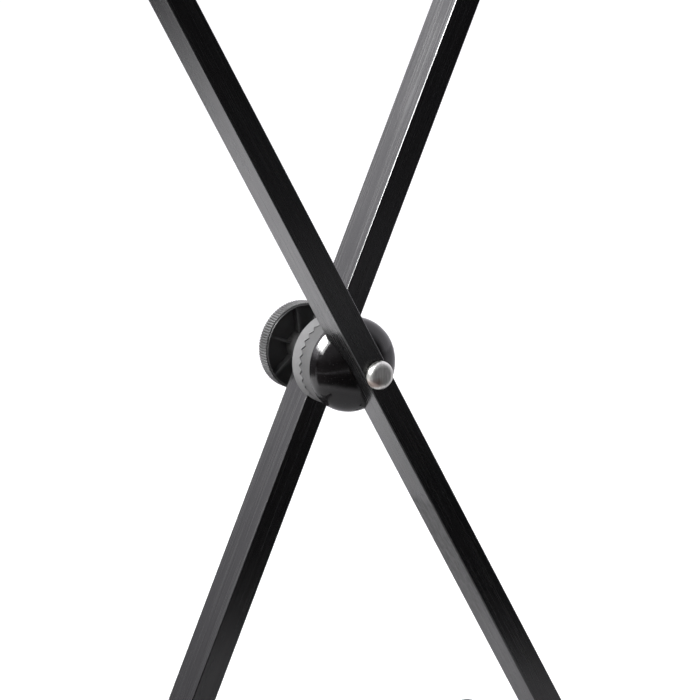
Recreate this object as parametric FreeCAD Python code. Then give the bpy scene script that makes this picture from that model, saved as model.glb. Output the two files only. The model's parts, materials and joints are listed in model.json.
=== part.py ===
"""Folding keyboard stand: two crossed legs on a toothed clutch, with foot bars and support arms.

Millimetres. +X is across the legs, +Y runs from the bolt head back to the knob, +Z is up.
The origin is on the floor, under the middle of the pivot. Each leg is drawn upright about
the pivot and then leaned to its angle, so its own frame has +Z along the leg.
"""
import FreeCAD, Part

import math
import os

from FreeCAD import Placement, Rotation, Vector

# ---- legs ----
leg_width = 20.0            # tube size across the leg
leg_depth = 30.0            # tube size front to back
leg_wall = 1.5
leg_corner = 1.0            # outside corner radius
leg_inner_corner = 0.4      # inside corner radius, at least
leg_reach = 455.0           # pivot to the middle of a foot bar or an arm, along the leg
leg_lean = 27.0             # degrees from upright, each leg its own way
leg_end_lift = 7.0          # cut end of a leg above the floor, and below the top

# ---- foot bars and support arms ----
bar_radius = 12.5
bar_wall = 1.5
foot_bar_length = 400.0
arm_length = 380.0
rubber_radius = 21.0        # outside of a foot cap and of an arm's sleeve
rubber_flat = 1.5           # how much is cut off to give the flat that it stands on
foot_cap_length = 46.0
foot_cap_end = 7.0          # rubber beyond the end of the bar
rubber_round = 4.0
sleeve_inset = 6.0          # bar left bare at its end
sleeve_gap = 15.7           # bar left bare beside the bracket
sleeve_groove_depth = 0.8
sleeve_groove_pitch = 9.0
bar_plug_flange = 3.0
bar_plug_depth = 14.0

# ---- moulded brackets that join the bars to the legs ----
bracket_wall = 3.5
bracket_lift = 3.0          # underside above the floor
bracket_socket = 58.0       # socket up the leg, from the bar's middle
bracket_gusset = 32.0       # gusset up the leg, from the bar's middle
bracket_shoulder = 12.0     # gusset's outer corner, from the bar's middle
bracket_corner = 3.0
barrel_length = 52.0        # round the bar
bracket_bolt_up = 45.0      # bolt through bracket and leg, from the bar's middle
bracket_bolt_radius = 3.0
bracket_bolt_across = 10.0
bracket_bolt_head = 4.0
bracket_bolt_spare = 3.0    # thread beyond the nut
bracket_nut_height = 5.0
bar_screw_radius = 2.2
bar_screw_head_radius = 4.4
bar_screw_head_height = 2.6
bar_screw_reach = 4.0       # inside the bar's wall

# ---- pivot bolt ----
bolt_radius = 4.0
bolt_length = 110.0         # under the head
bolt_head_radius = 10.6
bolt_head_height = 6.3      # from its widest circle
bolt_head_fullness = 3.6    # 2 is an ellipse, more is a fuller edge
bolt_head_lift = 1.3        # widest circle, in front of the tube's face
bolt_head_step = 0.9        # narrower under the head
bolt_neck = 8.2             # square under the head
bolt_neck_length = 5.0

# ---- pivot bush, sleeves and washers ----
running_gap = 0.05          # a shaft that turns or slides in its hole, at the radius
body_gap = 0.4              # pieces that move past each other
seat_gap = 0.1              # pieces that fit together and stay
bush_radius = 7.0
bush_front = 5.0            # in front of the rear tube's face
bush_short = 0.3            # bush stops this far inside the rear tube's back face
rear_sleeve_wall = 1.6
front_sleeve_radius = 7.0
steel_washer_radius = 13.0
steel_washer_thickness = 1.6
nylon_washer_radius = 12.5
nylon_washer_thickness = 1.2

# ---- dome housing ----
dome_radius = 35.5
dome_height = 21.3
dome_fullness = 2.3         # 2 is an ellipse, more is flatter on top and rounder at the rim
dome_steps = 12             # points on a dome's profile
dome_sink = 14.2            # how deep the front tube sits in the dome
dome_wall = 3.0
dome_boss_radius = 3.6
channel_gap = 0.15          # each side of a tube in its channel

# ---- toothed discs ----
tooth_count = 34
tooth_height = 3.3          # root to tip at the rim
tooth_play = 1.0            # between the two sets of teeth, along the pivot
tooth_backlash = 0.8        # degrees, how far the rear teeth rest off the middle of the front ones
tooth_phase = 1.1           # degrees, a front tooth's tip above level on the left
tooth_ring_inner = 23.0
front_disc_depth = 14.7     # dome rim to the middle of the teeth
front_disc_radius = 35.2
teeth_radius = 33.9
rear_disc_depth = 8.85      # middle of the teeth to the rear tube
rear_disc_radius = 33.9
rear_disc_wrap = 4.2        # how far the rear disc comes back beside the tube
disc_edge = 0.9
dome_gap = 0.5              # dark groove between dome and front disc
dome_gap_depth = 1.3
front_disc_edge = 0.3
front_recess = 3.0          # front disc's inner face, below the middle of the teeth
rear_recess = 0.8           # rear disc's inner face, beyond the middle of the teeth
disc_screw_circle = 19.5
disc_screw_angle = 40.0     # each side of the leg's line
screw_radius = 1.6
screw_head_radius = 3.0
screw_head_height = 2.2
front_screw_length = 15.0
rear_screw_length = 9.0
rear_screw_circle = 18.5

# ---- stop between the discs ----
stop_circle = 19.5
stop_radius = 2.0
stop_engagement = 5.2       # pin beyond the rear disc's inner face
stop_seat = 5.0             # pin in the front disc
stop_bottom_gap = 0.8
stop_end_gap = 0.35
notches_to_close = 5
notches_to_open = 1

# ---- spring that parts the discs ----
spring_radius = 10.0        # to the middle of the wire
spring_wire = 1.6
spring_turns = 4.0
spring_pocket_radius = 12.0
front_pocket_floor = 3.0    # metal left under the spring
rear_pocket_floor = 3.0

# ---- knob ----
knob_radius = 33.4
knob_gap = 10.65            # rear tube's back face to the knob's front rim
knob_depth = 10.9
knob_rim = 1.9
knob_lip = 0.6              # round edge of the lip inside the ribs
knob_lip_rise = 0.8         # lip, in front of the ribs
knob_back = 2.4
knob_ribs = 98
knob_rib_height = 0.9
knob_rib_land = 0.42        # part of a rib's pitch that is full height
knob_web_count = 6
knob_web_turn = -7.0        # degrees, the first web from upright
knob_web = 1.8
knob_web_set_back = 2.5
knob_hub_radius = 11.0
insert_across = 13.0
insert_height = 8.0
insert_set_in = 6.5         # from the front of the hub
knob_cap_radius = 14.0
knob_cap_thickness = 1.4
knob_cap_rise = 1.6
knob_cap_stem = 1.9         # the cap's round stem, in its recess in the knob's back

# ---- worked out ----
notch = 360.0 / tooth_count
dome_rim_at = leg_depth - dome_sink + dome_height
teeth_at = dome_rim_at + front_disc_depth
rear_tube_at = teeth_at + rear_disc_depth
stack_depth = rear_tube_at + leg_depth
washer_at = stack_depth
nylon_at = washer_at + steel_washer_thickness
hub_at = nylon_at + nylon_washer_thickness
knob_front_at = stack_depth + knob_gap
knob_back_at = knob_front_at + knob_depth
middle = stack_depth / 2
lean = math.radians(leg_lean)
bar_offset = leg_width / 2 + bracket_wall + bar_radius
rubber_reach = rubber_radius - rubber_flat
pivot_height = leg_reach * math.cos(lean) - bar_offset * math.sin(lean) + rubber_reach
stand_height = 2 * pivot_height
sleeve_length = arm_length / 2 - sleeve_inset - (middle - leg_depth / 2) - barrel_length / 2 - sleeve_gap
far = 3 * leg_reach

os.makedirs("parts", exist_ok=True)


# ---- helpers ----
def save(name, shape):
    """Write one node."""
    shape.exportStep("parts/" + name + ".step")


def joined(shapes):
    """One solid from overlapping shapes."""
    whole = shapes[0]
    for shape in shapes[1:]:
        whole = whole.fuse(shape)
    return whole.removeSplitter()


def group(shapes):
    """Separate solids in one node."""
    return Part.makeCompound(shapes)


def block(x0, x1, y0, y1, z0, z1):
    """A box from its two corners."""
    return Part.makeBox(x1 - x0, y1 - y0, z1 - z0, Vector(x0, y0, z0))


def rod(radius, start, end, x=0.0, z=0.0):
    """A cylinder along Y."""
    return Part.makeCylinder(radius, end - start, Vector(x, start, z), Vector(0, 1, 0))


def cross_rod(radius, start, end, y, z):
    """A cylinder along X."""
    low, high = min(start, end), max(start, end)
    return Part.makeCylinder(radius, high - low, Vector(low, y, z), Vector(1, 0, 0))


def turned(outline):
    """A solid of revolution about Y, from (radius, y) points."""
    points = [Vector(r, y, 0) for r, y in outline]
    face = Part.Face(Part.makePolygon(points + points[:1]))
    return face.revolve(Vector(0, 0, 0), Vector(0, 1, 0), 360)


def domed(radius, height, fullness, rim_at):
    """A solid dome that bulges forwards from its rim. Fullness 2 is an ellipse, more is flatter on top."""
    points = []
    for k in range(dome_steps + 1):
        turn = math.pi / 2 * k / dome_steps
        across = radius * math.sin(turn) ** (2 / fullness)
        ahead = height * abs(math.cos(turn)) ** (2 / fullness)
        points.append(Vector(across, rim_at - ahead, 0))
    profile = Part.BSplineCurve()
    profile.interpolate(Points=points, InitialTangent=Vector(1, 0, 0), FinalTangent=Vector(0, 1, 0))
    centre = Vector(0, rim_at, 0)
    ends = [Part.makeLine(points[-1], centre), Part.makeLine(centre, points[0])]
    face = Part.Face(Part.Wire([profile.toShape()] + ends))
    return face.revolve(Vector(0, 0, 0), Vector(0, 1, 0), 360)


def spun(shape, degrees):
    """Turned about the pivot's axis, positive from +Z towards +X."""
    copy = shape.copy()
    copy.rotate(Vector(0, 0, 0), Vector(0, 1, 0), degrees)
    return copy


def at_stack(shape):
    """From pivot measures, with y counted from the front tube's face, to the stand's frame."""
    copy = shape.copy()
    copy.translate(Vector(0, -middle, pivot_height))
    return copy


def prism(across, axis_start, axis_end, axis, centre):
    """A hexagonal prism along X or Y, with the size across its flats."""
    reach = across / math.sqrt(3)
    points = []
    for k in range(6):
        a = math.radians(60 * k + 30)
        u, v = reach * math.cos(a), reach * math.sin(a)
        if axis == "x":
            points.append(Vector(axis_start, centre[0] + u, centre[1] + v))
        else:
            points.append(Vector(centre[0] + u, axis_start, centre[1] + v))
    face = Part.Face(Part.makePolygon(points + points[:1]))
    length = axis_end - axis_start
    direction = Vector(length, 0, 0) if axis == "x" else Vector(0, length, 0)
    return face.extrude(direction)


def rounded_bar(width, depth, corner, low, high):
    """An upright bar with rounded corners, centred on X and Y."""
    bar = block(-width / 2, width / 2, -depth / 2, depth / 2, low, high)
    if corner <= 0:
        return bar
    upright = [e for e in bar.Edges if abs(e.tangentAt(e.FirstParameter).z) > 0.99]
    return bar.makeFillet(corner, upright)


class Leg:
    """One leg's place: its lean, where it stands in the stack and the side its bars are on."""

    def __init__(self, name, side, stack_start):
        self.name = name
        self.side = side                      # +1 leans its top to -X, -1 to +X
        self.angle = -side * leg_lean
        self.y = stack_start + leg_depth / 2 - middle

    def placed(self, shape):
        """From the leg's own frame to the stand's."""
        copy = shape.copy()
        turn = Rotation(Vector(0, 1, 0), self.angle)
        copy.transformShape(Placement(Vector(0, 0, pivot_height), turn).toMatrix())
        return copy

    def ends(self):
        """(bar centre across, bar centre along, outward sign) at the foot and at the arm."""
        return [(self.side * bar_offset, -leg_reach, self.side),
                (-self.side * bar_offset, leg_reach, -self.side)]


front = Leg("front", 1, 0.0)
rear = Leg("rear", -1, rear_tube_at)


# ---- legs ----
def between(low, high):
    """The level slab between two heights."""
    return block(-far, far, -far, far, low, high)


def leg_bar(leg, inset):
    """The leg's outer section, or one set in from it, longer than the leg."""
    corner = max(leg_corner - inset, leg_inner_corner)
    bar = rounded_bar(leg_width - 2 * inset, leg_depth - 2 * inset, corner, -far / 2, far / 2)
    bar.translate(Vector(0, leg.y, 0))
    return leg.placed(bar)


def leg_tube(leg):
    """The square-cut tube with its pivot hole and the holes for the bar bolts."""
    tube = leg_bar(leg, 0).cut(leg_bar(leg, leg_wall))
    tube = tube.common(between(leg_end_lift, stand_height - leg_end_lift))
    for up in (-1, 1):
        along = up * (leg_reach - bracket_bolt_up)
        hole = cross_rod(bracket_bolt_radius + seat_gap, -leg_width, leg_width, leg.y, along)
        tube = tube.cut(leg.placed(hole))
    if leg is front:
        half = bolt_neck / 2 + seat_gap
        neck = block(-half, half, -1, leg_wall + 1, -half, half)
        shank = rod(bolt_radius + seat_gap, leg_wall, leg_depth + 1)
        holes = [spun(neck, leg.angle), shank]
    else:
        sleeve = bush_radius + running_gap + rear_sleeve_wall + seat_gap
        holes = [rod(sleeve, rear_tube_at - 1, stack_depth + 1)]
        for turn in (0, 180):
            pilot = rod(screw_radius, rear_tube_at - 1, rear_tube_at + leg_wall + 1, z=rear_screw_circle)
            holes.append(spun(pilot, leg.angle + turn))
    for hole in holes:
        tube = tube.cut(at_stack(hole))
    return tube


# ---- bars ----
def bar_tube(leg, end, length):
    """A foot bar or an arm: a round tube along Y with its bolt hole."""
    across, along, out = leg.ends()[end]
    tube = rod(bar_radius, -length / 2, length / 2, across, along)
    tube = tube.cut(rod(bar_radius - bar_wall, -length / 2, length / 2, across, along))
    pilot = cross_rod(bar_screw_radius, across, across + 2 * out * bar_radius, leg.y, along)
    return leg.placed(tube.cut(pilot))


def bar_centre(leg, end):
    """A bar's centre in the stand's frame."""
    across, along, _ = leg.ends()[end]
    point = Rotation(Vector(0, 1, 0), leg.angle).multVec(Vector(across, 0, along))
    return point + Vector(0, 0, pivot_height)


def rubber_body(start, end, round_start, round_end):
    """A turned rubber piece along Y with eased ends, before its bore and its flat."""
    body = rod(rubber_radius, start, end)
    rims = []
    for edge in body.Edges:
        centre = edge.BoundBox.Center
        if edge.BoundBox.YLength > 1e-6:
            continue
        if round_start and abs(centre.y - start) < 1e-6:
            rims.append(edge)
        if round_end and abs(centre.y - end) < 1e-6:
            rims.append(edge)
    return body.makeFillet(rubber_round, rims)


def foot_caps(leg):
    """Rubber cups on the foot bar's ends, with the flats that the stand rests on."""
    centre = bar_centre(leg, 0)
    inner = foot_bar_length / 2 + foot_cap_end - foot_cap_length
    outer = foot_bar_length / 2 + foot_cap_end
    cap = rubber_body(inner, outer, True, True)
    cap = cap.cut(rod(bar_radius + seat_gap, inner - 1, foot_bar_length / 2 + seat_gap))
    caps = [cap, cap.mirror(Vector(0, 0, 0), Vector(0, 1, 0))]
    for cap in caps:
        cap.translate(centre)
    floor = between(0, stand_height)
    return group([cap.common(floor) for cap in caps])


def arm_sleeves(leg):
    """Ribbed rubber sleeves that the instrument rests on, flat on top."""
    centre = bar_centre(leg, 1)
    outer = arm_length / 2 - sleeve_inset
    inner = outer - sleeve_length
    sleeve = rubber_body(inner, outer, True, True)
    sleeve = sleeve.cut(rod(bar_radius + seat_gap, inner - 1, outer + 1))
    groove_count = int((sleeve_length - 4 * rubber_round) / sleeve_groove_pitch)
    first = (inner + outer) / 2 - (groove_count - 1) * sleeve_groove_pitch / 2
    for k in range(groove_count):
        at = first + k * sleeve_groove_pitch
        ring = rod(rubber_radius + 1, at - sleeve_groove_depth, at + sleeve_groove_depth)
        ring = ring.cut(rod(rubber_radius - sleeve_groove_depth, at - 2, at + 2))
        sleeve = sleeve.cut(ring)
    sleeves = [sleeve, sleeve.mirror(Vector(0, 0, 0), Vector(0, 1, 0))]
    for sleeve in sleeves:
        sleeve.translate(centre)
    return group([sleeve.common(between(0, stand_height)) for sleeve in sleeves])


def arm_plugs(leg):
    """Plugs in the arm's open ends."""
    centre = bar_centre(leg, 1)
    end = arm_length / 2
    stem_radius = bar_radius - bar_wall - seat_gap
    outline = [(0, end - bar_plug_depth), (stem_radius, end - bar_plug_depth), (stem_radius, end)]
    outline += [(bar_radius, end), (bar_radius, end + bar_plug_flange / 2)]
    outline += [(bar_radius - bar_plug_flange / 2, end + bar_plug_flange), (0, end + bar_plug_flange)]
    plug = turned(outline)
    plugs = [plug, plug.mirror(Vector(0, 0, 0), Vector(0, 1, 0))]
    for plug in plugs:
        plug.translate(centre)
    return group(plugs)


# ---- what holds the bars ----
def at_end(leg, end, piece):
    """A piece drawn for a foot, outward as +X and the bar's middle at z = 0, put at an end."""
    across, along, out = leg.ends()[end]
    copy = piece.copy()
    if along > 0:
        copy.rotate(Vector(0, 0, 0), Vector(1, 0, 0), 180)
    if out < 0:
        copy.rotate(Vector(0, 0, 0), Vector(0, 0, 1), 180)
    copy.translate(Vector(0, leg.y, along))
    return leg.placed(copy)


bracket_face = leg_width / 2 + bracket_wall
barrel_radius = bar_radius + bracket_wall


def bracket(leg, end):
    """A moulded socket for the leg's end, with a barrel for the bar and a gusset between."""
    half = leg_depth / 2 + bracket_wall
    socket = rounded_bar(2 * bracket_face, 2 * half, bracket_corner, -leg_reach / 4, bracket_socket)
    barrel = rod(barrel_radius, -barrel_length / 2, barrel_length / 2, bar_offset)
    outline = [(0, bracket_gusset), (bracket_face, bracket_gusset)]
    outline += [(bar_offset + bracket_shoulder, bracket_shoulder), (bar_offset, 0)]
    outline += [(bar_offset, -barrel_radius), (0, -barrel_radius)]
    points = [Vector(x, -half + bracket_corner, z) for x, z in outline]
    gusset = Part.Face(Part.makePolygon(points + points[:1]))
    gusset = gusset.extrude(Vector(0, 2 * (half - bracket_corner), 0))
    body = at_end(leg, end, joined([socket, barrel, gusset]))
    body = body.common(between(bracket_lift, stand_height - bracket_lift))
    inside = leg_bar(leg, -seat_gap).common(between(leg_end_lift, stand_height - leg_end_lift))
    bore = rod(bar_radius + seat_gap, -barrel_length, barrel_length, bar_offset)
    bolt_hole = cross_rod(bracket_bolt_radius + seat_gap, -far, far, 0, bracket_bolt_up)
    screw_hole = cross_rod(bar_screw_radius + seat_gap, bar_offset, bar_offset + 2 * barrel_radius, 0, 0)
    for hole in (bore, bolt_hole, screw_hole):
        body = body.cut(at_end(leg, end, hole))
    return body.cut(inside)


def at_ends(leg, piece):
    """The same piece at both ends of a leg."""
    return group([at_end(leg, 0, piece), at_end(leg, 1, piece)])


def bracket_bolt():
    """A hexagon bolt through bracket and leg, its head outside."""
    top = bracket_face + bracket_bolt_head
    head = prism(bracket_bolt_across, bracket_face, top, "x", (0, bracket_bolt_up))
    end = -bracket_face - bracket_nut_height - bracket_bolt_spare
    return joined([head, cross_rod(bracket_bolt_radius, end, bracket_face + 1, 0, bracket_bolt_up)])


def bracket_nut():
    """The nut on the bolt's inner end."""
    start = -bracket_face - bracket_nut_height
    nut = prism(bracket_bolt_across, start, -bracket_face, "x", (0, bracket_bolt_up))
    return nut.cut(cross_rod(bracket_bolt_radius, start - 1, 0, 0, bracket_bolt_up))


def bar_screw():
    """A domed screw through the barrel into the bar's wall."""
    seat = bar_offset + barrel_radius
    tip = bar_offset + bar_radius - bar_wall - bar_screw_reach
    head = cross_rod(bar_screw_head_radius, seat, seat + bar_screw_head_height, 0, 0)
    crown = [e for e in head.Edges if abs(e.BoundBox.XMin - seat - bar_screw_head_height) < 1e-6]
    head = head.makeFillet(bar_screw_head_height / 2, [e for e in crown if e.BoundBox.XLength < 1e-6])
    return joined([head, cross_rod(bar_screw_radius, tip, seat + bar_screw_head_height / 2, 0, 0)])


# ---- pivot bolt and what turns on it ----
def pivot_bolt():
    """A domed-head bolt with a square neck that keeps it from turning in the front tube."""
    head = domed(bolt_head_radius, bolt_head_height, bolt_head_fullness, -bolt_head_lift)
    under = rod(bolt_head_radius - bolt_head_step, -bolt_head_lift, 0)
    half = bolt_neck / 2
    neck = spun(block(-half, half, -1, bolt_neck_length, -half, half), front.angle)
    return at_stack(joined([head, under, neck, rod(bolt_radius, 0, bolt_length)]))


def front_crush_sleeve():
    """Keeps the front tube's walls apart under the bolt's pull."""
    start = bolt_neck_length + seat_gap
    sleeve = rod(front_sleeve_radius, start, leg_depth - leg_wall)
    return at_stack(sleeve.cut(rod(bolt_radius + seat_gap, start - 1, leg_depth)))


def rear_crush_sleeve():
    """Pressed through the rear tube, and turning on the bush."""
    bore = bush_radius + running_gap
    sleeve = rod(bore + rear_sleeve_wall, rear_tube_at, stack_depth)
    return at_stack(sleeve.cut(rod(bore, rear_tube_at - 1, stack_depth + 1)))


def pivot_bush():
    """Slides on the bolt, and carries the rear leg."""
    start, end = rear_tube_at - bush_front, stack_depth - bush_short
    bush = rod(bush_radius, start, end)
    return at_stack(bush.cut(rod(bolt_radius + running_gap, start - 1, end + 1)))


def ring_washer(radius, start, thickness):
    """A flat washer on the bolt."""
    washer = rod(radius, start, start + thickness)
    return at_stack(washer.cut(rod(bolt_radius + running_gap, start - 1, start + thickness + 1)))


# ---- dome housing ----
front_screw_turns = (disc_screw_angle, 180 - disc_screw_angle, 180 + disc_screw_angle, 360 - disc_screw_angle)


def dome_housing():
    """A domed shell with the channel that the front tube lies in, and bosses for the disc."""
    half = leg_width / 2 + channel_gap
    floor = leg_depth
    outer = domed(dome_radius, dome_height, dome_fullness, dome_rim_at)
    hollow = domed(dome_radius - dome_wall, dome_height - dome_wall, dome_fullness, dome_rim_at)
    tray = block(-half - dome_wall, half + dome_wall, 0, floor + dome_wall, -far, far)
    hollow = hollow.cut(spun(tray, front.angle))
    hollow = hollow.cut(rod(bush_radius + dome_wall, 0, dome_rim_at))
    for turn in front_screw_turns:
        boss = rod(dome_boss_radius, 0, dome_rim_at, z=disc_screw_circle)
        hollow = hollow.cut(spun(boss, front.angle + turn))
    shell = outer.cut(hollow)
    shell = shell.cut(spun(block(-half, half, -1, floor, -far, far), front.angle))
    shell = shell.cut(rod(bolt_radius + seat_gap, 0, dome_rim_at + 1))
    for turn in front_screw_turns:
        hole = rod(screw_radius, front_screw_seat - front_screw_length, dome_rim_at + 1, z=disc_screw_circle)
        shell = shell.cut(spun(hole, front.angle + turn))
    return at_stack(shell)


# ---- toothed discs ----
def tooth_fan(shift, lag, back):
    """The flank planes of the teeth, all through one point on the axis, closed at y = back.

    The teeth are moved along the axis by shift, and turned by lag degrees.
    """
    reach = 1.5 * dome_radius
    rise = tooth_height / 2 * reach / teeth_radius
    centre = Vector(0, teeth_at + shift, 0)
    edge, base = [], []
    for k in range(2 * tooth_count):
        turn = math.radians(tooth_phase + lag + k * notch / 2)
        x, z = -reach * math.cos(turn), reach * math.sin(turn)
        crest = rise if k % 2 == 0 else -rise
        edge.append(Vector(x, teeth_at + shift + crest, z))
        base.append(Vector(x, back, z))
    faces = [Part.Face(Part.makePolygon(base + base[:1]))]
    for k in range(len(edge)):
        n = (k + 1) % len(edge)
        faces.append(Part.Face(Part.makePolygon([centre, edge[k], edge[n], centre])))
        faces.append(Part.Face(Part.makePolygon([edge[k], edge[n], base[n], base[k], edge[k]])))
    return Part.makeSolid(Part.makeShell(faces))


front_inner_face = teeth_at - front_recess
rear_inner_face = teeth_at + rear_recess
front_screw_seat = front_inner_face - screw_head_height - seat_gap
rear_screw_seat = rear_inner_face + screw_head_height + seat_gap


def toothed_disc_front():
    """The disc behind the dome, with its ring of teeth, spring pocket and pin seat."""
    top = teeth_at + tooth_height
    groove, shoulder = front_disc_radius - dome_gap_depth, dome_rim_at + dome_gap
    outline = [(tooth_ring_inner, dome_rim_at), (groove, dome_rim_at), (groove, shoulder)]
    outline += [(front_disc_radius - front_disc_edge, shoulder)]
    outline += [(front_disc_radius, shoulder + front_disc_edge)]
    outline += [(teeth_radius, teeth_at - tooth_height / 2), (teeth_radius, top), (tooth_ring_inner, top)]
    ring = turned(outline).common(tooth_fan(0, 0, dome_rim_at - 1))
    core = rod(tooth_ring_inner, dome_rim_at, front_inner_face)
    disc = joined([ring, core])
    disc = disc.cut(rod(spring_pocket_radius, dome_rim_at + front_pocket_floor, top))
    disc = disc.cut(rod(bolt_radius + seat_gap, 0, top))
    for turn in front_screw_turns:
        hole = rod(screw_radius + seat_gap, 0, top, z=disc_screw_circle)
        seat = rod(screw_head_radius + seat_gap, front_screw_seat, top, z=disc_screw_circle)
        disc = disc.cut(spun(hole.fuse(seat), front.angle + turn))
    pin = rod(stop_radius, front_inner_face - stop_seat, front_inner_face + 1, z=stop_circle)
    disc = disc.cut(spun(pin, stop_turn))
    return at_stack(disc)


stop_slack = math.degrees(stop_end_gap / stop_circle)
slot_low = -notches_to_open * notch - stop_slack
slot_high = notches_to_close * notch + stop_slack
stop_turn = rear.angle + 90 - (slot_low + slot_high) / 2


def stop_pin():
    """The dowel in the front disc that runs in the rear disc's slot."""
    end = rear_inner_face + stop_engagement
    pin = rod(stop_radius, front_inner_face - stop_seat, end, z=stop_circle)
    return at_stack(spun(pin, stop_turn))


def stop_slot():
    """The curved slot that the stop pin runs in, from the closed end to the open end."""
    wide = stop_radius + body_gap
    start, end = rear_inner_face - 1, rear_inner_face + stop_engagement + stop_bottom_gap
    ring = rod(stop_circle + wide, start, end).cut(rod(stop_circle - wide, start, end))
    corners = [Vector(0, start, 0)]
    steps = 8
    for k in range(steps + 1):
        turn = math.radians(slot_low + (slot_high - slot_low) * k / steps)
        corners.append(Vector(math.sin(turn), 0, math.cos(turn)) * (3 * stop_circle) + Vector(0, start, 0))
    wedge = Part.Face(Part.makePolygon(corners + corners[:1])).extrude(Vector(0, end - start, 0))
    slot = ring.common(wedge)
    for turn in (slot_low, slot_high):
        slot = slot.fuse(spun(rod(wide, start, end, z=stop_circle), turn))
    return spun(slot.removeSplitter(), stop_turn)


def toothed_disc_rear():
    """The disc on the rear tube, with its ring of teeth, stop slot and tube channel."""
    top = teeth_at - tooth_height
    back = rear_tube_at + rear_disc_wrap
    outline = [(tooth_ring_inner, top), (teeth_radius, top), (teeth_radius, teeth_at + tooth_height / 2)]
    outline += [(rear_disc_radius + disc_edge / 2, back - 2 * disc_edge)]
    outline += [(rear_disc_radius - disc_edge, back), (tooth_ring_inner, back)]
    ring = turned(outline).common(tooth_fan(tooth_play, tooth_backlash, back + 1))
    core = rod(tooth_ring_inner, rear_inner_face, back)
    disc = joined([ring, core])
    half = leg_width / 2 + channel_gap
    disc = disc.cut(spun(block(-half, half, rear_tube_at, back + 1, -far, far), rear.angle))
    disc = disc.cut(rod(spring_pocket_radius, 0, rear_tube_at - rear_pocket_floor))
    disc = disc.cut(rod(bush_radius + running_gap, 0, back + 1))
    disc = disc.cut(stop_slot())
    for turn in (0, 180):
        hole = rod(screw_radius + seat_gap, top, back, z=rear_screw_circle)
        seat = rod(screw_head_radius + seat_gap, top, rear_screw_seat, z=rear_screw_circle)
        disc = disc.cut(spun(hole.fuse(seat), rear.angle + turn))
    return at_stack(disc)


def disc_screws(seat, tip, circle, turns, angle):
    """Pan-head screws along Y, from the seat under the head to the tip."""
    screws = []
    away = 1 if seat > tip else -1
    for turn in turns:
        head = rod(screw_head_radius, *sorted((seat, seat + away * screw_head_height)), z=circle)
        shank = rod(screw_radius, *sorted((seat, tip)), z=circle)
        screws.append(at_stack(spun(joined([head, shank]), angle + turn)))
    return group(screws)


def clutch_spring():
    """The spring round the bush that parts the discs when the knob is slack."""
    start = dome_rim_at + front_pocket_floor + spring_wire / 2
    end = rear_tube_at - rear_pocket_floor - spring_wire / 2
    pitch = (end - start) / spring_turns
    path = Part.makeHelix(pitch, end - start, spring_radius)
    ring = Part.makeCircle(spring_wire / 2, Vector(spring_radius, 0, 0), Vector(0, 1, 0))
    coil = Part.Wire(path.Edges).makePipeShell([Part.Wire([ring])], True, True)
    coil.rotate(Vector(0, 0, 0), Vector(1, 0, 0), -90)
    coil.translate(Vector(0, start, 0))
    return at_stack(coil)


# ---- knob ----
def ribbed_rim():
    """The knob's outside: a ring of small flat-topped ribs with sharp grooves between them."""
    groove = knob_radius - knob_rib_height
    corners = ((0, knob_radius), (knob_rib_land, knob_radius), ((1 + knob_rib_land) / 2, groove))
    points = []
    for k in range(knob_ribs):
        for share, reach in corners:
            turn = 2 * math.pi * (k + share) / knob_ribs
            points.append(Vector(reach * math.cos(turn), knob_front_at, reach * math.sin(turn)))
    return Part.Face(Part.makePolygon(points + points[:1])).extrude(Vector(0, knob_depth, 0))


def around_lip(inner):
    """What comes off the rim's front to leave a low lip, with a round outer edge, inside the ribs."""
    outer, front, back = inner + knob_lip, knob_front_at, knob_front_at + knob_lip_rise
    bend = knob_lip * math.sqrt(0.5)
    arc = Part.Arc(Vector(inner, front, 0), Vector(inner + bend, front + knob_lip - bend, 0),
                   Vector(outer, front + knob_lip, 0))
    corners = [Vector(outer, front + knob_lip, 0), Vector(outer, back, 0), Vector(knob_radius + 1, back, 0)]
    corners += [Vector(knob_radius + 1, front, 0), Vector(inner, front, 0)]
    edges = [Part.makeLine(corners[k], corners[k + 1]) for k in range(len(corners) - 1)]
    face = Part.Face(Part.Wire([arc.toShape()] + edges))
    return face.revolve(Vector(0, 0, 0), Vector(0, 1, 0), 360)


def clutch_knob():
    """A cup with its open side forwards, webs inside and a hub round the insert."""
    floor = knob_back_at - knob_back
    inner = knob_radius - knob_rim
    knob = ribbed_rim().cut(rod(inner, knob_front_at - 1, floor))
    knob = knob.cut(around_lip(inner))
    webs = []
    for k in range(knob_web_count):
        web_front, web_back = knob_front_at + knob_web_set_back, knob_back_at - knob_back / 2
        web = block(-knob_web / 2, knob_web / 2, web_front, web_back, 0, inner + knob_rim / 4)
        webs.append(spun(web, knob_web_turn + 360 * k / knob_web_count))
    knob = joined([knob, rod(knob_hub_radius, hub_at, knob_back_at)] + webs)
    knob = knob.cut(rod(bolt_radius + body_gap, hub_at - 1, knob_back_at + 1))
    pocket = prism(insert_across, hub_at + insert_set_in, knob_back_at + 1, "y", (0, 0))
    knob = knob.cut(pocket)
    recess_floor = knob_back_at - knob_cap_stem - seat_gap
    recess = rod(insert_across / math.sqrt(3) + seat_gap, recess_floor, knob_back_at + 1)
    return at_stack(knob.cut(recess))


def knob_insert():
    """The hexagonal steel nut moulded into the hub, running on the bolt."""
    start = hub_at + insert_set_in
    nut = prism(insert_across, start, start + insert_height, "y", (0, 0))
    return at_stack(nut.cut(rod(bolt_radius + running_gap, start - 1, start + insert_height + 1)))


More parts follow.
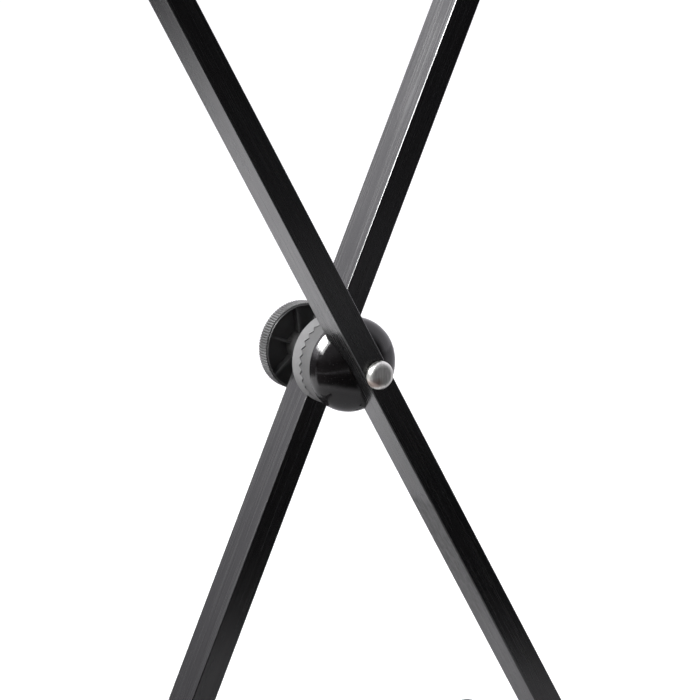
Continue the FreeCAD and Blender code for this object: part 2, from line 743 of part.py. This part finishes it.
def knob_cap():
    """The low round cap over the insert and the bolt's end."""
    sphere = (knob_cap_radius ** 2 + knob_cap_rise ** 2) / (2 * knob_cap_rise)
    rise = Part.makeSphere(sphere, Vector(0, knob_back_at + knob_cap_thickness + knob_cap_rise - sphere, 0))
    top = knob_back_at + knob_cap_thickness + knob_cap_rise
    rise = rise.common(rod(knob_cap_radius, knob_back_at + knob_cap_thickness, top + 1))
    plate = rod(knob_cap_radius, knob_back_at, knob_back_at + knob_cap_thickness)
    stem = rod(insert_across / math.sqrt(3), knob_back_at - knob_cap_stem, knob_back_at + knob_cap_thickness)
    return at_stack(joined([plate, rise, stem]))


# ---- every node ----
for leg in (front, rear):
    save(leg.name + "_leg_tube", leg_tube(leg))
    save(leg.name + "_foot_bracket", bracket(leg, 0))
    save(leg.name + "_arm_bracket", bracket(leg, 1))
    save(leg.name + "_foot_bar", bar_tube(leg, 0, foot_bar_length))
    save(leg.name + "_foot_caps", foot_caps(leg))
    save(leg.name + "_arm", bar_tube(leg, 1, arm_length))
    save(leg.name + "_arm_sleeves", arm_sleeves(leg))
    save(leg.name + "_arm_plugs", arm_plugs(leg))
    save(leg.name + "_bracket_bolts", at_ends(leg, bracket_bolt()))
    save(leg.name + "_bracket_nuts", at_ends(leg, bracket_nut()))
    save(leg.name + "_bar_screws", at_ends(leg, bar_screw()))

save("pivot_bolt", pivot_bolt())
save("front_crush_sleeve", front_crush_sleeve())
save("rear_crush_sleeve", rear_crush_sleeve())
save("pivot_bush", pivot_bush())
save("steel_washer", ring_washer(steel_washer_radius, washer_at, steel_washer_thickness))
save("nylon_washer", ring_washer(nylon_washer_radius, nylon_at, nylon_washer_thickness))
save("dome_housing", dome_housing())
save("toothed_disc_front", toothed_disc_front())
save("toothed_disc_rear", toothed_disc_rear())
save("front_disc_screws", disc_screws(front_screw_seat, front_screw_seat - front_screw_length,
                                      disc_screw_circle, front_screw_turns, front.angle))
save("rear_disc_screws", disc_screws(rear_screw_seat, rear_screw_seat + rear_screw_length,
                                     rear_screw_circle, (0, 180), rear.angle))
save("stop_pin", stop_pin())
save("clutch_spring", clutch_spring())
save("clutch_knob", clutch_knob())
save("knob_insert", knob_insert())
save("knob_cap", knob_cap())
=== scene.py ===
import json
import math

import bpy
from mathutils import Matrix, Vector


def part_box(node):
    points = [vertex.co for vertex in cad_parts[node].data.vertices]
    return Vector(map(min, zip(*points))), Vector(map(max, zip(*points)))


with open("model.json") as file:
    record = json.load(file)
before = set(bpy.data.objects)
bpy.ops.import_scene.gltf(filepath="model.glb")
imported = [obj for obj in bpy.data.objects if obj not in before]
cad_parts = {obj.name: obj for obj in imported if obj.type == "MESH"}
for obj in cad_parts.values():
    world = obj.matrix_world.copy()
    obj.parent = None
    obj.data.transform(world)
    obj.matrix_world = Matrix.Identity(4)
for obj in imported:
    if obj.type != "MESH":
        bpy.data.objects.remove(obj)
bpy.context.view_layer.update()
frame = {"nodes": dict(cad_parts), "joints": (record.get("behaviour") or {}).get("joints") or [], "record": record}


def way(azimuth, elevation=0.0):
    """A direction from angles in degrees, with azimuth 0 in front and 90 on the +X side."""
    a, e = math.radians(azimuth), math.radians(elevation)
    return Vector((math.sin(a) * math.cos(e), -math.cos(a) * math.cos(e), math.sin(e)))


# ---- the object, in metres ----
pivot = next(Vector(joint["pos_m"]) for joint in frame["joints"] if joint["name"] == "leg_fold")
front_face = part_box("front_leg_tube")[0].y
lean = math.radians(27)                   # each leg from upright
haze_height = 0.060                       # faint bloom in the paint, up the leg from the pivot
haze_reach = (0.020, 0.085)               # full and gone, either way from that height
worn_depth = 0.108                        # rubbed paint starts here, down the leg from the pivot
worn_fade = (-0.24, -0.18)                # and is fainter again from the second to the first
left_face = (-0.0096, -0.0088)            # on the face at the tube's left side only
brown_tint_right = (-0.0045, 0.0025)          # brown tint low on the bolt's left: edges from the bolt's middle
brown_tint_top = (-0.0035, 0.0)
brown_tint_foot = (-0.0085, -0.0065)

# ---- camera, fitted to the photograph ----
camera_azimuth, camera_elevation, camera_roll = -31.86, 15.05, -1.97
camera_distance = 3.060
camera_right, camera_up = -0.02024, 0.01784
photo_pixels, focal_pixels = 700.0, 4207.0
sensor_millimetres = 36.0
camera_clip = (0.1, 60.0)

# ---- light ----
# name, azimuth, elevation, distance, (width, height), watts, what it lights
lamps = (
    ("key_softbox", -98, 32, 1.50, (1.80, 0.90), 40, "matt"),
    ("key_sheen", -112, 44, 1.50, (1.15, 0.60), 150, "gloss"),
    ("key_halo", -106, 43, 1.55, (1.70, 0.85), 45, "gloss"),
)
upwards = Vector((0, 0, 1))
dark_side = way(-20)                      # the unlit front of the studio
back_left = way(-150)
dark_side_edge = (-0.05, 0.30)            # cosines at which a sector starts and is full
world_colour = (0.985, 0.965, 1.03, 1.0)
world_front = (-0.97, -0.72)              # what the world's strength of 1 loses there, low and high
world_back = (-0.88, 0.60)                # and what it loses low and gains high at the back left
floor_radius, floor_sides = 9.0, 96
floor_tone = (0.78, 0.82)
floor_glow = 0.45                         # added for the camera alone
# (distance, darkness) of painted shade on the floor in front; lighter from 1.78 to 1.94 m, a painted pool of light
floor_front_shade = ((0.46, 0.0), (0.66, 0.97), (1.48, 0.97), (1.78, 0.30), (1.94, 0.35), (2.30, 0.92))
floor_back_shade = (0.95, 1.30)                  # painted shade: the back left darkens between these distances
floor_shadow_reach = (0.40, 0.60)                 # and a painted shadow under the object, up to these


# ---- camera ----
def place_camera():
    """The photograph's view: long lens, from the left and a little above the pivot."""
    roll = math.radians(camera_roll)
    back = way(camera_azimuth, camera_elevation)
    level = (-back).cross(upwards).normalized()
    up = level.cross(-back)
    right = math.cos(roll) * level + math.sin(roll) * up
    up = -math.sin(roll) * level + math.cos(roll) * up
    place = back * camera_distance + right * camera_right + up * camera_up
    place += Vector((0, front_face, pivot.z))
    camera = bpy.data.objects.new("camera", bpy.data.cameras.new("camera"))
    bpy.context.scene.collection.objects.link(camera)
    turn = Matrix((right, up, back)).transposed().to_4x4()
    camera.matrix_world = Matrix.Translation(place) @ turn
    camera.data.sensor_width = sensor_millimetres
    camera.data.lens = focal_pixels / photo_pixels * sensor_millimetres
    camera.data.clip_start, camera.data.clip_end = camera_clip
    bpy.context.scene.camera = camera


# ---- nodes ----
class Nodes:
    """A node tree, with a short call for each kind of node that is used more than once."""

    def __init__(self, tree):
        self.tree = tree

    def add(self, kind):
        """A new node of that kind."""
        return self.tree.nodes.new(kind)

    def join(self, source, socket):
        """Link an output to a socket, or set a plain value on it."""
        if hasattr(source, "links"):
            self.tree.links.new(source, socket)
        else:
            socket.default_value = source

    def maths(self, operation, first, second):
        """A Math node on two values."""
        node = self.add("ShaderNodeMath")
        node.operation = operation
        self.join(first, node.inputs[0])
        self.join(second, node.inputs[1])
        return node.outputs[0]

    def plus(self, first, second):
        """The sum of two values."""
        return self.maths("ADD", first, second)

    def times(self, first, second):
        """The product of two values."""
        return self.maths("MULTIPLY", first, second)

    def spread(self, value, low, high, start=0.0, end=1.0, kind="LINEAR"):
        """A value from start to end, mapped from low to high."""
        node = self.add("ShaderNodeMapRange")
        node.interpolation_type = kind
        self.join(value, node.inputs["Value"])
        node.inputs["From Min"].default_value = start
        node.inputs["From Max"].default_value = end
        node.inputs["To Min"].default_value = low
        node.inputs["To Max"].default_value = high
        return node.outputs[0]

    def towards(self, direction, goal, low, high, start, end):
        """From low to high, as the cosine between a direction and its goal goes from start to end."""
        facing = self.add("ShaderNodeVectorMath")
        facing.operation = "DOT_PRODUCT"
        facing.inputs[1].default_value = goal
        self.join(direction, facing.inputs[0])
        return self.spread(facing.outputs["Value"], low, high, start, end, "SMOOTHSTEP")

    def noise(self, vector, scale, detail=3.0, roughness=0.5, distortion=0.0):
        """Noise from 0 to 1, with scale in features per metre."""
        node = self.add("ShaderNodeTexNoise")
        node.inputs["Scale"].default_value = scale
        node.inputs["Detail"].default_value = detail
        node.inputs["Roughness"].default_value = roughness
        node.inputs["Distortion"].default_value = distortion
        self.join(vector, node.inputs["Vector"])
        return node.outputs[0]


class Look(Nodes):
    """A procedural material: one Principled shader with its textures in object space."""

    def __init__(self, name, **constants):
        self.material = bpy.data.materials.new(name)
        self.material.use_nodes = True
        super().__init__(self.material.node_tree)
        self.shader = self.tree.nodes["Principled BSDF"]
        for socket, value in constants.items():
            self.shader.inputs[socket.replace("_", " ")].default_value = value
        self.place = self.add("ShaderNodeTexCoord").outputs["Object"]

    def moved(self, vector, offset=(0, 0, 0), turn=(0, 0, 0), scale=(1, 1, 1)):
        """Coordinates that are scaled, turned and then moved."""
        node = self.add("ShaderNodeMapping")
        node.inputs["Location"].default_value = offset
        node.inputs["Rotation"].default_value = turn
        node.inputs["Scale"].default_value = scale
        self.join(vector, node.inputs["Vector"])
        return node.outputs[0]

    def from_pivot(self):
        """Coordinates that start at the pivot."""
        return self.moved(self.place, offset=tuple(-pivot))

    def axes(self, vector):
        """The three parts of a vector."""
        node = self.add("ShaderNodeSeparateXYZ")
        self.join(vector, node.inputs[0])
        return node.outputs

    def tint(self, value, dark, light):
        """A colour between two by a value from 0 to 1."""
        node = self.add("ShaderNodeMix")
        node.data_type = "RGBA"
        self.join(value, node.inputs["Factor"])
        for colour, socket in ((dark, node.inputs[6]), (light, node.inputs[7])):
            if isinstance(colour, tuple):
                socket.default_value = (*colour, 1.0)
            else:
                self.join(colour, socket)
        return node.outputs[2]

    def bumps(self, edge, *layers):
        """Eased edges of that radius, and surface relief from (height, depth in metres) layers."""
        bevel = self.add("ShaderNodeBevel")
        bevel.samples = 6
        bevel.inputs["Radius"].default_value = edge
        normal = bevel.outputs[0]
        for height, depth in layers:
            node = self.add("ShaderNodeBump")
            node.inputs["Strength"].default_value = 1.0
            node.inputs["Distance"].default_value = depth
            self.join(height, node.inputs["Height"])
            self.join(normal, node.inputs["Normal"])
            normal = node.outputs[0]
        self.join(normal, self.shader.inputs["Normal"])

    def finish(self, colour, roughness):
        """Feed the colour and the roughness."""
        self.join(colour, self.shader.inputs["Base Color"])
        self.join(roughness, self.shader.inputs["Roughness"])
        return self.material


# ---- materials ----
def grey(value, warm=0.0):
    """A neutral colour, or a little warmer."""
    return (value * (1 + warm), value, value * (1 - warm))


def hazed(look, colour, along):
    """A faint bloom in the paint just above the clutch."""
    _, _, z = look.axes(along)
    distance = look.maths("ABSOLUTE", look.maths("SUBTRACT", z, haze_height), 0.0)
    bloom = look.spread(distance, 1.0, 0.0, *haze_reach)
    return look.tint(look.times(bloom, 0.6), colour, grey(0.018))


def rubbed(look, colour, roughness, along):
    """Paint rubbed dull low on the leg, with swirled fine scratches where it starts."""
    x, _, z = look.axes(along)
    swirl = look.noise(look.moved(along, scale=(1, 1, 0.8)), scale=95.0, detail=2.0, distortion=1.2)
    wavy = look.plus(z, look.spread(swirl, -0.006, 0.006))
    worn = look.spread(wavy, 0.0, 1.0, start=-worn_depth, end=-worn_depth - 0.010)
    faded = look.spread(z, 0.25, 1.0, *worn_fade)
    worn = look.times(look.times(worn, faded), look.spread(x, 1.0, 0.0, *left_face))
    blots = look.noise(look.moved(along, scale=(1, 1, 0.7)),
                       scale=210.0, detail=6.0, roughness=0.7, distortion=0.5)
    rub = look.times(worn, look.spread(blots, 0.55, 1.0, start=0.40, end=0.62))
    arcs = look.noise(look.moved(along, turn=(0.7, 0.5, 0.3), scale=(1, 1, 0.12)),
                      scale=420.0, detail=2.0, distortion=0.9)
    arc = look.times(worn, look.spread(arcs, 0.0, 1.0, start=0.58, end=0.70))
    colour = look.tint(rub, colour, grey(0.017))
    colour = look.tint(look.times(arc, 0.55), colour, grey(0.075))
    return colour, look.plus(roughness, look.times(rub, 0.45))


def paint(name, turn, used=False):
    """Satin black paint on steel tube, with draw lines along it and soft uneven gloss."""
    look = Look(name, IOR=1.5, Coat_Weight=0.35, Coat_Roughness=0.12, Coat_IOR=1.5)
    along = look.moved(look.from_pivot(), turn=turn)
    lines = look.noise(look.moved(along, scale=(620, 620, 7)), scale=1.0, detail=4.0, roughness=0.62)
    cloud = look.noise(look.moved(along, scale=(1, 1, 0.35)), scale=60.0, roughness=0.55)
    peel = look.noise(along, scale=900.0, detail=2.0)
    roughness = look.plus(look.spread(lines, 0.15, 0.31, start=0.3, end=0.7),
                          look.spread(cloud, -0.03, 0.06))
    streak = look.spread(lines, 0.0, 1.0, start=0.3, end=0.7)
    colour = look.tint(streak, (0.0019, 0.0017, 0.0020), (0.0036, 0.0033, 0.0037))
    if used:
        colour = hazed(look, colour, along)
        colour, roughness = rubbed(look, colour, roughness, along)
    look.bumps(0.0006, (peel, 0.000010), (lines, 0.000008))
    return look.finish(colour, roughness)


def plastic(name, dark, light, rough, grain, depth, edge=0.0004, specular=0.2, subsurface=0.0):
    """Moulded plastic or rubber: mottled tone, uneven gloss and a fine grain."""
    look = Look(name, Specular_IOR_Level=specular, Subsurface_Weight=subsurface)
    cloud = look.noise(look.place, scale=45.0, detail=4.0, roughness=0.6)
    fine = look.noise(look.place, scale=grain, roughness=0.6)
    swirl = look.noise(look.place, scale=260.0, roughness=0.55, distortion=0.4)
    colour = look.tint(look.spread(cloud, 0.0, 1.0, start=0.3, end=0.7), dark, light)
    colour = look.tint(look.spread(fine, 0.0, 0.35, start=0.55, end=0.8), colour, light)
    look.bumps(edge, (fine, depth))
    return look.finish(colour, look.spread(swirl, *rough, start=0.25, end=0.75))


def dome_look():
    """Gloss black moulding with faint sink waves, rub marks and a few specks of dust."""
    look = Look("dome_gloss_black", IOR=1.5)
    wave = look.noise(look.place, scale=42.0, detail=2.0, roughness=0.4)
    rubs = look.noise(look.moved(look.place, turn=(0.5, 0.2, 0.6), scale=(45, 800, 800)),
                      scale=1.0, roughness=0.6)
    smears = look.noise(look.moved(look.place, turn=(0.2, 0.9, 0.1), scale=(1, 3, 1)),
                        scale=70.0, detail=4.0, roughness=0.6)
    specks = look.noise(look.place, scale=1500.0, detail=1.0, roughness=0.4)
    dust = look.spread(specks, 0.0, 1.0, start=0.72, end=0.80)
    colour = look.tint(wave, (0.0048, 0.0043, 0.0046), (0.0078, 0.0068, 0.0070))
    colour = look.tint(look.times(dust, 0.35), colour, grey(0.10))
    roughness = look.plus(look.spread(rubs, 0.05, 0.20, start=0.35, end=0.75), look.times(dust, 0.3))
    roughness = look.plus(roughness, look.spread(smears, 0.0, 0.07, start=0.45, end=0.7))
    look.bumps(0.0004, (wave, 0.00016), (rubs, 0.0000025))
    return look.finish(colour, roughness)


def metal(name, colour, tarnish, rough):
    """Plated or plain metal with a fine grain and a changing tone."""
    look = Look(name, Metallic=1.0)
    grain = look.noise(look.place, scale=900.0, detail=4.0, roughness=0.6)
    cloud = look.noise(look.place, scale=140.0, roughness=0.6)
    tone = look.tint(look.spread(cloud, 0.0, 1.0, start=0.35, end=0.7), colour, tarnish)
    tone = look.tint(look.spread(grain, 0.0, 0.45, start=0.5, end=0.75), tone, tarnish)
    look.bumps(0.0003, (grain, 0.000004))
    return look.finish(tone, look.spread(grain, *rough, start=0.25, end=0.75))


def bolt_look():
    """Satin chrome with upright streaks, uneven gloss and a brown tint low on its left."""
    look = Look("bolt_satin_chrome", Metallic=1.0)
    head = look.from_pivot()
    streaks = look.noise(look.moved(head, scale=(1, 1, 0.08)), scale=900.0, detail=4.0, roughness=0.6)
    cloud = look.noise(head, scale=260.0, roughness=0.6)
    x, _, z = look.axes(head)
    uneven = look.plus(z, look.spread(cloud, -0.002, 0.002))
    # a brown tint low on the bolt's left
    brown_tint = look.times(look.spread(x, 1.0, 0.0, *brown_tint_right), look.spread(uneven, 1.0, 0.0, *brown_tint_top))
    brown_tint = look.times(brown_tint, look.spread(z, 0.0, 1.0, *brown_tint_foot))
    tone = look.tint(look.spread(streaks, 0.0, 1.0, start=0.35, end=0.65),
                     (0.88, 0.88, 0.85), (0.64, 0.64, 0.60))
    tone = look.tint(look.times(brown_tint, 0.75), tone, (0.34, 0.24, 0.20))
    look.bumps(0.0003, (streaks, 0.000012))
    return look.finish(tone, look.spread(cloud, 0.30, 0.44, start=0.3, end=0.7))


# looks by the record's slots, and after them those of single nodes
looks = {
    "black_powder_coat": paint("bar_paint", (math.pi / 2, 0, 0)),
    "bracket_plastic": plastic("bracket_black_plastic", grey(0.016), grey(0.026),
                               rough=(0.40, 0.58), grain=1500.0, depth=0.00003),
    "foot_rubber": plastic("foot_black_rubber", grey(0.017, 0.03), grey(0.032, 0.05),
                           rough=(0.62, 0.85), grain=1100.0, depth=0.00005),
    "sleeve_rubber": plastic("sleeve_black_rubber", grey(0.015, 0.02), grey(0.028, 0.04),
                             rough=(0.55, 0.78), grain=1300.0, depth=0.00004),
    "plug_plastic": plastic("plug_black_plastic", grey(0.014), grey(0.022),
                            rough=(0.32, 0.5), grain=1600.0, depth=0.00002),
    "zinc_plate": metal("zinc_plate", (0.60, 0.62, 0.65), (0.50, 0.50, 0.47), rough=(0.28, 0.46)),
    "bolt_chrome": bolt_look(),
    "plain_steel": metal("plain_steel", (0.52, 0.52, 0.52), (0.40, 0.39, 0.37), rough=(0.30, 0.50)),
    "bush_brass": metal("bush_brass", (0.74, 0.56, 0.27), (0.55, 0.40, 0.19), rough=(0.25, 0.42)),
    "nylon": plastic("nylon_white", grey(0.66, 0.03), grey(0.72, 0.02),
                     rough=(0.35, 0.5), grain=1500.0, depth=0.00001, subsurface=0.15),
    "dome_gloss": dome_look(),
    "knob_plastic": plastic("knob_satin_plastic", grey(0.046), grey(0.070),
                            rough=(0.38, 0.54), grain=1700.0, depth=0.00002, edge=0.00025, specular=0.30),
    "knob_cap_plastic": plastic("knob_cap_plastic", grey(0.012), grey(0.018),
                                rough=(0.18, 0.30), grain=1700.0, depth=0.00001),
}
node_looks = {
    "front_leg_tube": paint("front_leg_paint", (0, lean, 0), used=True),
    "rear_leg_tube": paint("rear_leg_paint", (0, -lean, 0)),
    # the two toothed discs are one plastic: the rear one's colour is written lighter and the front one's darker,
    # painted light and shade for how each is lit
    "toothed_disc_front": plastic("front_disc_shaded_plastic", grey(0.090), grey(0.118),
                                  rough=(0.60, 0.76), grain=1700.0, depth=0.00002, edge=0.00025,
                                  specular=0.06),
    "toothed_disc_rear": plastic("rear_disc_lit_plastic", grey(0.160), grey(0.206),
                                 rough=(0.60, 0.76), grain=1700.0, depth=0.00002, edge=0.00025,
                                 specular=0.06),
}
for names in frame["record"]["behaviour"]["bodies"].values():
    for name in names:
        mesh = frame["nodes"][name].data
        for index, old in enumerate(mesh.materials):
            slot = old.name.split(".")[0]
            mesh.materials[index] = node_looks[name] if name in node_looks else looks[slot]


# ---- light, floor and background ----
def area_lamp(name, azimuth, elevation, distance, size, watts, lights):
    """A soft box that faces the pivot and lights either matt surfaces or gloss."""
    data = bpy.data.lights.new(name, "AREA")
    data.shape = "RECTANGLE"
    data.size, data.size_y = size
    data.energy = watts
    lamp = bpy.data.objects.new(name, data)
    bpy.context.scene.collection.objects.link(lamp)
    away = way(azimuth, elevation)
    lamp.location = pivot + away * distance
    lamp.rotation_euler = away.to_track_quat("Z", "Y").to_euler()
    lamp.visible_diffuse = lights == "matt"
    lamp.visible_glossy = lights == "gloss"


def studio_world():
    """Plain white to the camera; to the object white, dim in front and uneven at the back left."""
    world = bpy.data.worlds.new("studio")
    world.use_nodes = True
    nodes = Nodes(world.node_tree)
    nodes.tree.nodes.clear()
    direction = nodes.add("ShaderNodeTexCoord").outputs["Generated"]
    in_front = nodes.towards(direction, dark_side, 0.0, 1.0, *dark_side_edge)
    front_change = nodes.towards(direction, upwards, *world_front, 0.05, 0.45)
    at_back = nodes.towards(direction, back_left, 0.0, 1.0, 0.45, 0.80)
    back_change = nodes.towards(direction, upwards, *world_back, 0.10, 0.34)
    strength = nodes.plus(nodes.times(in_front, front_change), 1.0)
    strength = nodes.plus(strength, nodes.times(at_back, back_change))
    around = nodes.add("ShaderNodeBackground")
    around.inputs["Color"].default_value = world_colour
    nodes.join(strength, around.inputs["Strength"])
    white = nodes.add("ShaderNodeBackground")
    white.inputs["Color"].default_value = (1.0, 1.0, 1.0, 1.0)
    white.inputs["Strength"].default_value = 1.0
    mix = nodes.add("ShaderNodeMixShader")
    nodes.join(nodes.add("ShaderNodeLightPath").outputs["Is Camera Ray"], mix.inputs[0])
    nodes.join(around.outputs[0], mix.inputs[1])
    nodes.join(white.outputs[0], mix.inputs[2])
    nodes.join(mix.outputs[0], nodes.add("ShaderNodeOutputWorld").inputs["Surface"])
    bpy.context.scene.world = world


def floor_painted_shade(nodes, place):
    """How much of the floor's tone is lost to painted shade in front, with a lighter band there that is a painted
    pool of light, far out at the back left, and to a painted shadow under the object.
    """
    outward = nodes.add("ShaderNodeVectorMath")
    outward.operation = "NORMALIZE"
    nodes.join(place, outward.inputs[0])
    in_front = nodes.towards(outward.outputs[0], dark_side, 0.0, 1.0, *dark_side_edge)
    behind = nodes.towards(outward.outputs[0], back_left, 0.0, 0.9, 0.55, 0.85)
    length = nodes.add("ShaderNodeVectorMath")
    length.operation = "LENGTH"
    nodes.join(place, length.inputs[0])
    distance = length.outputs["Value"]

    ramp_reach = 3.0
    # painted shade in front, with a painted pool of light in it
    ramp = nodes.add("ShaderNodeValToRGB")
    for stop, _ in floor_front_shade[2:]:
        ramp.color_ramp.elements.new(stop / ramp_reach)
    for element, (stop, dark) in zip(ramp.color_ramp.elements, floor_front_shade):
        element.position = stop / ramp_reach
        element.color = (dark, dark, dark, 1.0)
    nodes.join(nodes.maths("DIVIDE", distance, ramp_reach), ramp.inputs[0])

    far_out = nodes.spread(distance, 0.0, 1.0, *floor_back_shade)
    # painted shadow under the object
    under = nodes.spread(distance, 0.42, 0.0, *floor_shadow_reach)
    dim = nodes.maths("MAXIMUM", nodes.times(in_front, ramp.outputs[0]), nodes.times(behind, far_out))
    return nodes.maths("MAXIMUM", dim, under)


def floor():
    """A pale floor that keeps the object's shadow, white to the camera and in part darker to the object with
    painted shade and a painted shadow under it.
    """
    mesh = bpy.data.meshes.new("floor")
    steps = [2 * math.pi * k / floor_sides for k in range(floor_sides)]
    ring = [(floor_radius * math.cos(step), floor_radius * math.sin(step), 0.0) for step in steps]
    mesh.from_pydata(ring, [], [tuple(range(floor_sides))])
    plane = bpy.data.objects.new("floor", mesh)
    bpy.context.scene.collection.objects.link(plane)
    material = bpy.data.materials.new("floor_white")
    material.use_nodes = True
    nodes = Nodes(material.node_tree)
    nodes.tree.nodes.clear()
    place = nodes.add("ShaderNodeTexCoord").outputs["Object"]
    tone = nodes.spread(nodes.noise(place, scale=3.0, detail=2.0), *floor_tone)
    seen = nodes.add("ShaderNodeLightPath").outputs["Is Camera Ray"]
    # the painted shade is seen by light and gloss, not by the camera
    shade_off_camera = nodes.times(floor_painted_shade(nodes, place), nodes.maths("SUBTRACT", 1.0, seen))
    kept = nodes.maths("SUBTRACT", 1.0, shade_off_camera)
    matt = nodes.add("ShaderNodeBsdfDiffuse")
    nodes.join(nodes.times(tone, kept), matt.inputs["Color"])
    glow = nodes.add("ShaderNodeEmission")
    nodes.join(nodes.times(seen, floor_glow), glow.inputs["Strength"])
    both = nodes.add("ShaderNodeAddShader")
    nodes.join(matt.outputs[0], both.inputs[0])
    nodes.join(glow.outputs[0], both.inputs[1])
    nodes.join(both.outputs[0], nodes.add("ShaderNodeOutputMaterial").inputs["Surface"])
    mesh.materials.append(material)


place_camera()
studio_world()
floor()
for lamp in lamps:
    area_lamp(*lamp)
bpy.context.scene.view_settings.view_transform = "Standard"
